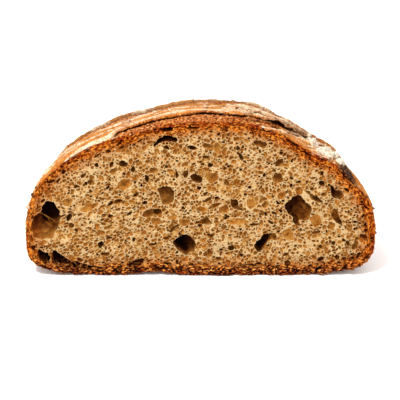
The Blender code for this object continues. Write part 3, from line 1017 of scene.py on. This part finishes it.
def crust_flakes():
    """Burnt flakes and baked-on crumbs that stick out of the cut's edge and the crown."""
    placed = []
    edge = outline()
    for side, z, radius, how_burnt in FLAKES:
        line = edge[edge[:, 0] * side > 0]
        x = line[np.argmin(np.abs(line[:, 1] - z)), 0] - side * 0.1 * radius
        placed.append((x, 1.6, z, radius, how_burnt))
    for x, y, radius, how_burnt in CROWN_CRUMBS:
        part = (1 - (y / waist_reach(x)) ** SHOULDER) ** (1 / SHOULDER)
        placed.append((x, y, WAIST + crown_rise(x) * part + 0.4 * radius, radius, how_burnt))
    mesh = bmesh.new()
    burnt = []
    for x, y, z, radius, how_burnt in placed:
        blob = bmesh.ops.create_icosphere(mesh, subdivisions=3, radius=1)
        for vert in blob["verts"]:
            out = vert.co.copy()
            swell = 1 + 0.5 * float(wander(out.x + x, out.y, out.z + z, 0.7, 71))
            vert.co = Vector((x, y, z)) + radius * swell * Vector((out.x, 1.2 * out.y, 0.8 * out.z))
        burnt += [how_burnt] * len(blob["verts"])
    mesh.verts.ensure_lookup_table()
    points = np.array([vert.co for vert in mesh.verts])
    faces = np.array([[vert.index for vert in face.verts] for face in mesh.faces])
    mesh.free()
    burnt = np.array(burnt)
    # On the flakes the note that elsewhere paints shade in crevices carries their char
    notes = {
        "flour": smooth(0.3, 0.0, burnt), "opened": 1 - 0.5 * burnt, "crevice_shade_and_char": 0.8 * burnt,
        "scorch": 0 * burnt, "sole": 0 * burnt, "clump": 0 * burnt,
    }
    return make_mesh("crust_flakes", points, faces, notes)


def cut_crumb():
    """The crumb and the crust's edge in the cut, in pieces side by side."""
    foam = Foam()
    blow_named_pores(foam)
    blow_small_pores(foam)
    field = close_hidden(crumb_field(foam))
    points, faces = net_surface(field, foam.axes)
    x, y, z = points.T
    column = np.clip(((x - foam.low[0]) / STEP).round().astype(int), 0, foam.inside.shape[0] - 1)
    row = np.clip(((z - foam.low[2]) / STEP).round().astype(int), 0, foam.inside.shape[1] - 1)
    inside = foam.inside[column, row]

    # Notes for the colours: how baked and toasted, where on the crust, and how deep in a pore, for the
    # painted shade there
    blotch = wander(x, y, z, 3.0, 61)
    bake = 1 - inside / crust_thickness(x, z) + 0.3 * blotch
    toast = 0.95 * (1 - smooth(2, 16, inside)) + 0.12 * blotch
    top = z > WAIST
    share = np.where(top, y / CROWN_WAY, 1.0)
    notes = look_of_skin(x, np.maximum(y, 0), z, share)
    notes["bake"] = np.clip(bake, 0, 1)
    notes["toast"] = np.clip(toast, 0, 1)
    notes["inside"] = inside * MM
    notes["along"] = foam.along[column, row] * MM
    torn = foam.torn[column, 0, row]
    patchy = 1.3 * wander(x, y, z, 2.4, 62) * smooth(0.8, 2.5, y - torn)
    notes["sink"] = np.clip(y - torn + patchy, 0, 20)
    reach = 1 + 3.0 * notes["scorch"] + 2.2 * notes["clump"]
    notes["skin"] = smooth(0.9 * reach, 0.25 * reach, inside)
    # Painted highlight: the brims of the pores at the cut are lightened, where the crests would catch the
    # light
    depth = np.clip(np.searchsorted(foam.axes[1], y), 0, foam.shape[1] - 1)
    past_mouth = np.maximum(foam.nearest[column, depth, row] - GROW, 0)
    notes["painted_rim_highlight"] = 0.5 * np.exp(-(past_mouth / 0.30) ** 2) * smooth(0.8, 0.1, y - torn)

    # Faces that the skin covers or that close the foam's back are left out
    middle = points[faces].mean(axis=1)
    hidden = (middle[:, 1] > 4.0) & (inside[faces].mean(axis=1) < 1.6)
    hidden |= middle[:, 1] > FOAM_BACK - 1.0
    faces = faces[~hidden]
    middle = middle[~hidden]

    borders = np.quantile(middle[:, 0], np.linspace(0, 1, CRUMB_PIECES + 1))
    pieces = []
    for index in range(CRUMB_PIECES):
        chosen = (middle[:, 0] >= borders[index]) & (middle[:, 0] <= borders[index + 1])
        piece_points, piece_faces, piece_notes = used_only(points, faces[chosen], notes)
        piece = make_mesh(f"cut_crumb_{index + 1}", piece_points, piece_faces, piece_notes)
        thin_out(piece)
        pieces.append(piece)
    return pieces


def thin_out(piece):
    """Leave out the points that a mesh can best spare, down to the most that a piece may have."""
    triangles = 2 * len(piece.data.polygons)
    if triangles <= MOST_TRIANGLES:
        return
    spare = piece.modifiers.new("spare", "DECIMATE")
    spare.ratio = MOST_TRIANGLES / triangles
    graph = bpy.context.evaluated_depsgraph_get()
    thinned = bpy.data.meshes.new_from_object(piece.evaluated_get(graph))
    piece.modifiers.remove(spare)
    piece.data = thinned


def linear(colour):
    """An sRGB hex colour as linear red, green, blue and alpha."""
    values = []
    for start in (0, 2, 4):
        value = int(colour[start:start + 2], 16) / 255
        values.append(value / 12.92 if value <= 0.04045 else ((value + 0.055) / 1.055) ** 2.4)
    return (*values, 1)


# Places of a mix node's factor, two colours and result among its sockets
MIX_FACTOR, MIX_A, MIX_B, MIX_RESULT = 0, 6, 7, 2
COVER = {"data_type": "RGBA"}
DARKEN = {"data_type": "RGBA", "blend_type": "MULTIPLY"}
NOISE = {"noise_dimensions": "4D"}

# Grains that the patterns are read from: size in millimetres, detail, seed. Flour, bran and the
# finest pores are too small to show, so their speckles are drawn about a millimetre coarse
SKIN_GRAINS = {"speckle": (1.3, 4, 1), "blotch": (7, 3, 2), "patch": (26, 3, 12)}
CRUST_RELIEF = {"relief": (0.8, 3, 5)}
CRUMB_GRAINS = {
    "fine_pores": (1.1, 4, 3), "tint": (8, 2, 4), "bran": (1.3, 1, 8), "relief": (0.8, 3, 6),
}
LAYER_GRAIN = 1.0
LAYER_STRETCH = 0.45

# Shares of the blotches in the skin and of the broad tint in the crumb, and the depths in
# millimetres at which the painted shade in the pores begins and is whole
BLOTCH_SHARE = 0.45
TINT_SHARE = 0.40
SHADE_START = 0.1
SHADE_WHOLE = 14.0

# Depth of the finest relief, and the weak gloss of bread
RELIEF_DEPTH = 0.5 * MM
GLOSS = 0.06

# Notes on the points of the crust, and the further ones on those of the crumb
SKIN_NOTES = ("flour", "opened", "crevice_shade_and_char", "scorch", "sole", "clump")
CRUMB_NOTES = ("bake", "toast", "inside", "along", "sink", "skin", "painted_rim_highlight")

# Where the crust behind the first slash turns duller, as ways back from the cut, and by how much
DULL_START = 25 * MM
DULL_WHOLE = 60 * MM
DULL_SHARE = 0.55

# What covers the baked skin, in turn: the note that says where, and its colours
SKIN_LAYERS = (
    ("opened", ((0.39, "2C0A01"), (0.45, "863608"), (0.51, "A05218"), (0.57, "B46C28"), (0.66, "C6965C"))),
    ("flour", ((0.36, "A8784A"), (0.46, "CCAA84"), (0.56, "DAC2A4"), (0.70, "E6D8C4"))),
    ("clump", ((0.34, "A48E76"), (0.5, "CCBCA6"), (0.66, "E0D6C8"))),
    ("scorch", ((0.38, "140804"), (0.52, "3C2212"), (0.66, "7A5030"))),
    # Painted shade in crevices, cracks and slits; on the burnt flakes the same colour is their char
    ("crevice_shade_and_char", "260C03"),
    ("sole", ((0.36, "180702"), (0.46, "4A2008"), (0.56, "8A4A16"), (0.68, "B87C3C"))),
)

# Painted shade darkening a pore from its mouth down, and the layers of the baked edge and of the sole
PORE_SHADE_STOPS = (
    (0.0, "FFFFFF"), (0.03, "F6E2BE"), (0.07, "E8C890"), (0.16, "BEA072"), (0.32, "8C6C42"),
    (0.50, "5E3C1C"), (0.72, "341A08"), (1.0, "1C0902"),
)
EDGE_LAYERS = ((0.39, "1C0601"), (0.45, "782A02"), (0.51, "B45A0C"), (0.57, "CC7C1C"), (0.65, "DCA24C"))
SOLE_LAYERS = ((0.44, "020000"), (0.475, "1C0602"), (0.51, "6E2A04"), (0.56, "B06016"), (0.61, "E8AC60"))


def add_node(tree, kind, output, inputs=None, settings=None, stops=None):
    """Add a node with its values and links, its settings and its colour stops, and give the
    output that is asked for."""
    node = tree.nodes.new("ShaderNode" + kind)
    for name, value in (settings or {}).items():
        setattr(node, name, value)
    for name, value in (inputs or {}).items():
        if isinstance(value, bpy.types.NodeSocket):
            tree.links.new(value, node.inputs[name])
        else:
            node.inputs[name].default_value = value
    if stops:
        elements = node.color_ramp.elements
        while len(elements) < len(stops):
            elements.new(1)
        for element, (place, colour) in zip(elements, stops):
            element.position = place
            element.color = linear(colour)
    return node.outputs[output]


def new_material(name, grains, notes):
    """A material, its node tree, and what its patterns are read from: the place on the object,
    noises with grains of given sizes, and the notes on the mesh's points."""
    material = bpy.data.materials.new(name)
    material.use_nodes = True
    tree = material.node_tree
    place = add_node(tree, "TexCoord", "Object")
    read = {"place": place}
    for grain, (size, detail, seed) in grains.items():
        inputs = {"Vector": place, "W": seed, "Scale": 1 / (size * MM), "Detail": detail}
        read[grain] = add_node(tree, "TexNoise", "Fac", inputs, NOISE)
    for note in notes:
        read[note] = add_node(tree, "Attribute", "Fac", settings={"attribute_name": note})
    return material, tree, read


def lay_over(tree, colour, layers):
    """A colour with layers over it, in turn. Each has its share, its colour, and whether it covers
    or darkens what is under it."""
    for share, layer, settings in layers:
        inputs = {MIX_FACTOR: share, MIX_A: colour, MIX_B: layer}
        colour = add_node(tree, "Mix", MIX_RESULT, inputs, settings)
    return colour


def skin_colour(tree, read):
    """Colour of the crust's outside: the baked skin, and what covers it."""
    # Speckled with bran, blotched as the oven browned it, and duller behind
    speckled = add_node(
        tree, "ValToRGB", "Color", {"Fac": read["speckle"]},
        stops=((0.36, "783608"), (0.45, "AE5E16"), (0.54, "C67C2E"), (0.66, "D69E5A")),
    )
    blotched = add_node(
        tree, "ValToRGB", "Color", {"Fac": read["blotch"]},
        stops=((0.35, "8C4A18"), (0.65, "C08646")),
    )
    duller = add_node(
        tree, "ValToRGB", "Color", {"Fac": read["patch"]},
        stops=((0.38, "70441E"), (0.62, "B48E60")),
    )
    behind = {
        "Value": add_node(tree, "SeparateXYZ", "Y", {"Vector": read["place"]}),
        "From Min": CUT_Y + DULL_START, "From Max": CUT_Y + DULL_WHOLE, "To Max": DULL_SHARE,
    }
    layers = [
        (BLOTCH_SHARE, blotched, COVER),
        (add_node(tree, "MapRange", "Result", behind), duller, COVER),
    ]
    for note, colours in SKIN_LAYERS:
        if isinstance(colours, str):
            layer = linear(colours)
        else:
            layer = add_node(tree, "ValToRGB", "Color", {"Fac": read["speckle"]}, stops=colours)
        layers.append((read[note], layer, COVER))
    return lay_over(tree, speckled, layers)


def finish(tree, colour, relief, roughness):
    """Give a material's shader its colour, its roughness, a weak gloss and the finest relief."""
    shader = tree.nodes["Principled BSDF"]
    tree.links.new(colour, shader.inputs["Base Color"])
    shader.inputs["Roughness"].default_value = roughness
    shader.inputs["Specular IOR Level"].default_value = GLOSS
    inputs = {"Height": relief, "Strength": 1.0, "Distance": RELIEF_DEPTH}
    tree.links.new(add_node(tree, "Bump", "Normal", inputs), shader.inputs["Normal"])


def baked_crust():
    """Whole wheat crust, oven-baked."""
    # Dull and rough: brown where it opened or took the heat, and pale under the flour
    grains = {**SKIN_GRAINS, **CRUST_RELIEF}
    material, tree, read = new_material("baked_crust", grains, SKIN_NOTES)
    finish(tree, skin_colour(tree, read), read["relief"], roughness=0.78)
    return material


def wheat_crumb():
    """Whole wheat crumb, cut with a knife."""
    # Soft and dull: tan at the cut with specks of bran. Its pores get painted shade from the
    # mouth down, and their brims a painted highlight
    grains = {**SKIN_GRAINS, **CRUMB_GRAINS}
    material, tree, read = new_material("wheat_crumb", grains, SKIN_NOTES + CRUMB_NOTES)
    # The crumb's speckles are partly its own mottling and partly painted shade, dark where pores too fine
    # to model would be
    crumb = add_node(
        tree, "ValToRGB", "Color", {"Fac": read["fine_pores"]},
        stops=((0.37, "74420C"), (0.44, "9A621C"), (0.51, "AC7C38"), (0.61, "BC965A")),
    )
    tint = add_node(
        tree, "ValToRGB", "Color", {"Fac": read["tint"]}, stops=((0.38, "8E5C22"), (0.60, "BCA06C")),
    )
    bran = add_node(
        tree, "ValToRGB", "Color", {"Fac": read["bran"]}, stops=((0.60, "000000"), (0.68, "FFFFFF")),
    )
    # Painted shade: the crumb darkens with its depth behind the cut, to near black in the caverns
    span = {"Value": read["sink"], "From Min": SHADE_START, "From Max": SHADE_WHOLE}
    sink = add_node(tree, "MapRange", "Result", span)
    painted_pore_shade = add_node(tree, "ValToRGB", "Color", {"Fac": sink}, stops=PORE_SHADE_STOPS)
    crumb = lay_over(tree, crumb, (
        (TINT_SHARE, tint, COVER),
        # Painted highlight on the pores' brims
        (read["painted_rim_highlight"], linear("C0AC86"), COVER),
        (read["toast"], linear("DC963E"), DARKEN),
        (bran, linear("A8661C"), COVER),
        (1.0, painted_pore_shade, DARKEN),
    ))

    # The baked edge lies in layers along the outline, darker on the outside
    axes = {"X": read["along"], "Y": read["inside"], "Z": read["sink"]}
    lay = add_node(tree, "CombineXYZ", "Vector", axes)
    lay = add_node(tree, "Mapping", "Vector", {"Vector": lay, "Scale": (LAYER_STRETCH, 1, MM)})
    inputs = {"Vector": lay, "W": 9, "Scale": 1 / (LAYER_GRAIN * MM), "Detail": 4}
    layered = add_node(tree, "TexNoise", "Fac", inputs, NOISE)
    outer = add_node(
        tree, "ValToRGB", "Color", {"Fac": read["bake"]}, stops=((0.45, "FFFFFF"), (0.95, "B4805C")),
    )
    edge = add_node(tree, "ValToRGB", "Color", {"Fac": layered}, stops=EDGE_LAYERS)
    # The edge's pores get the same painted shade, and its outside is darker
    edge = lay_over(tree, edge, ((1.0, painted_pore_shade, DARKEN), (1.0, outer, DARKEN)))
    sole = add_node(tree, "ValToRGB", "Color", {"Fac": layered}, stops=SOLE_LAYERS)
    sole = lay_over(tree, sole, ((1.0, outer, DARKEN),))

    # The crumb turns to crust, to sole low down, and to the outer skin at its rim
    baked = add_node(
        tree, "ValToRGB", "Color", {"Fac": read["bake"]}, stops=((0.05, "000000"), (0.60, "FFFFFF")),
    )
    low = add_node(tree, "Math", 0, {0: read["sole"], 1: baked}, {"operation": "MULTIPLY"})
    colour = lay_over(tree, crumb, (
        (baked, edge, COVER),
        (low, sole, COVER),
        (read["skin"], skin_colour(tree, read), COVER),
    ))
    finish(tree, colour, read["relief"], roughness=0.85)
    return material


# The studio, in metres: the floor's size and how far it lies under the loaf, the light off the
# white walls, and the ways from the loaf to the two lights
FLOOR_SIZE = 6.0
FLOOR_GAP = 0.0003
CARD_ROUGHNESS = 0.9
WALL_LIGHT = 1.18
KEY_WAY = Vector((-0.44, -0.74, 1.32))
FILL_WAY = Vector((0.9, -1.0, 0.5))

# The camera: its height over the loaf as an angle, its way off, where it aims, lens and sensor
CAMERA_RISE = math.radians(22)
CAMERA_WAY = 1.1
CAMERA_AIM = Vector((-0.0003, CUT_Y, 0.0540))
CAMERA_LENS = 152
CAMERA_SENSOR = 36


def studio():
    """A white floor and soft light, with the camera at the photograph's angle."""
    mesh = bpy.data.meshes.new("floor")
    half = FLOOR_SIZE / 2
    corners = [(-half, -half, 0), (half, -half, 0), (half, half, 0), (-half, half, 0)]
    mesh.from_pydata(corners, [], [(0, 1, 2, 3)])
    floor = bpy.data.objects.new("floor", mesh)
    bpy.context.scene.collection.objects.link(floor)
    floor.location.z = -FLOOR_GAP
    # Card, pressed and uncoated: white and even, without a gloss
    material = bpy.data.materials.new("white_card")
    material.use_nodes = True
    shader = material.node_tree.nodes["Principled BSDF"]
    shader.inputs["Base Color"].default_value = linear("FFFFFF")
    shader.inputs["Roughness"].default_value = CARD_ROUGHNESS
    mesh.materials.append(material)
    # White walls all round, then a small strong light and a broad weak one
    world = bpy.data.worlds.new("studio")
    world.use_nodes = True
    background = world.node_tree.nodes["Background"]
    background.inputs["Color"].default_value = linear("FFFFFF")
    background.inputs["Strength"].default_value = WALL_LIGHT
    bpy.context.scene.world = world
    add_light("key", KEY_WAY, size=0.30, power=22)
    add_light("fill", FILL_WAY, size=0.9, power=1)
    scene = bpy.context.scene
    scene.view_settings.view_transform = "Standard"
    scene.view_settings.look = "None"
    add_camera()


def add_light(name, way, size, power):
    """A square soft light that faces the middle of the cut, from a way off."""
    data = bpy.data.lights.new(name, "AREA")
    data.size = size
    data.energy = power
    light = bpy.data.objects.new(name, data)
    light.location = Vector((0, CUT_Y, 0.05)) + way
    light.rotation_euler = (-way).to_track_quat("-Z", "Y").to_euler()
    bpy.context.scene.collection.objects.link(light)


def add_camera():
    """The photograph's camera, a little above the loaf and square to the cut."""
    data = bpy.data.cameras.new("camera")
    data.lens = CAMERA_LENS
    data.sensor_width = CAMERA_SENSOR
    camera = bpy.data.objects.new("camera", data)
    back = Vector((0, -math.cos(CAMERA_RISE), math.sin(CAMERA_RISE)))
    camera.location = CAMERA_AIM + CAMERA_WAY * back
    camera.rotation_euler = (-back).to_track_quat("-Z", "Y").to_euler()
    bpy.context.scene.collection.objects.link(camera)
    bpy.context.scene.camera = camera


crumb_finish = wheat_crumb()
for piece in cut_crumb():
    piece.data.materials.append(crumb_finish)
    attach(piece, "root")
    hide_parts("loaf")

crust_finish = baked_crust()
for piece in (*crust_skin(), crust_flakes()):
    piece.data.materials.append(crust_finish)
    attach(piece, "root")
    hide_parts("loaf")

studio()
